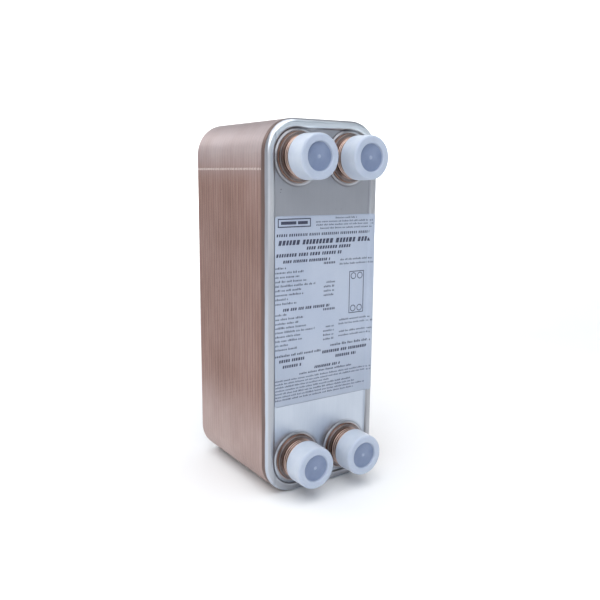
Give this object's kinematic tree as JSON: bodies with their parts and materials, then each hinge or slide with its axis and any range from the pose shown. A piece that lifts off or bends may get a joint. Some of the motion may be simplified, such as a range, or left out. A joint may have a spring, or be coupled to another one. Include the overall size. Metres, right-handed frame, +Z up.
{
  "type": "plate heat exchanger",
  "caption": "Brazed plate heat exchanger: a tall round-cornered block of nested pressed plates between two covers, with capped threaded ports on the front.",
  "frame": {"origin": "middle of the bottom of the whole object's box", "axes": "+Z up along the plates, +X across the plates to the right of someone facing the ports, -Y the way the ports face"},
  "size_m": [0.111, 0.15, 0.31],
  "materials": {
    "brazed_sheet": "stainless sheet stained copper by the brazing, satin, fine lines along the plate edges",
    "cover_steel": "stainless, smooth satin, copper stain on the skirt",
    "rear_steel": "stainless, satin, with light copper staining",
    "nozzle_steel": "stainless, oxidised dark and coppery by the brazing furnace",
    "braze_copper": "dull brazing copper",
    "cap_plastic": "translucent natural polyethylene",
    "label_film": "silver grey film, printed with blank bars in place of text"
  },
  "bodies": {
    "exchanger": {"braze_fillet_lower_left": "braze_copper", "braze_fillet_lower_right": "braze_copper", "braze_fillet_upper_left": "braze_copper", "braze_fillet_upper_right": "braze_copper", "channel_plates_01_02": "brazed_sheet", "channel_plates_03_04": "brazed_sheet", "channel_plates_05_06": "brazed_sheet", "channel_plates_07_08": "brazed_sheet", "channel_plates_09_10": "brazed_sheet", "channel_plates_11_12": "brazed_sheet", "channel_plates_13_14": "brazed_sheet", "channel_plates_15_16": "brazed_sheet", "channel_plates_17_18": "brazed_sheet", "channel_plates_19_20": "brazed_sheet", "channel_plates_21_22": "brazed_sheet", "channel_plates_23_24": "brazed_sheet", "channel_plates_25_26": "brazed_sheet", "channel_plates_27_28": "brazed_sheet", "channel_plates_29_30": "brazed_sheet", "channel_plates_31_32": "brazed_sheet", "channel_plates_33_34": "brazed_sheet", "channel_plates_35_36": "brazed_sheet", "channel_plates_37_38": "brazed_sheet", "channel_plates_39_40": "brazed_sheet", "channel_plates_41_42": "brazed_sheet", "channel_plates_43_44": "brazed_sheet", "channel_plates_45_46": "brazed_sheet", "channel_plates_47_48": "brazed_sheet", "channel_plates_49_50": "brazed_sheet", "front_cover": "cover_steel", "nozzle_lower_left": "nozzle_steel", "nozzle_lower_right": "nozzle_steel", "nozzle_upper_left": "nozzle_steel", "nozzle_upper_right": "nozzle_steel", "rating_label": "label_film", "rear_cover": "rear_steel"},
    "cap_lower_left": {"cap_lower_left": "cap_plastic"},
    "cap_lower_right": {"cap_lower_right": "cap_plastic"},
    "cap_upper_left": {"cap_upper_left": "cap_plastic"},
    "cap_upper_right": {"cap_upper_right": "cap_plastic"}
  },
  "joints": [
    {"name": "cap_lower_left_pull", "type": "slide", "parent": "exchanger", "child": "cap_lower_left", "axis": [0, -1, 0], "range_m": [0, 0.06]},
    {"name": "cap_lower_right_pull", "type": "slide", "parent": "exchanger", "child": "cap_lower_right", "axis": [0, -1, 0], "range_m": [0, 0.06]},
    {"name": "cap_upper_left_pull", "type": "slide", "parent": "exchanger", "child": "cap_upper_left", "axis": [0, -1, 0], "range_m": [0, 0.06]},
    {"name": "cap_upper_right_pull", "type": "slide", "parent": "exchanger", "child": "cap_upper_right", "axis": [0, -1, 0], "range_m": [0, 0.06]}
  ]
}
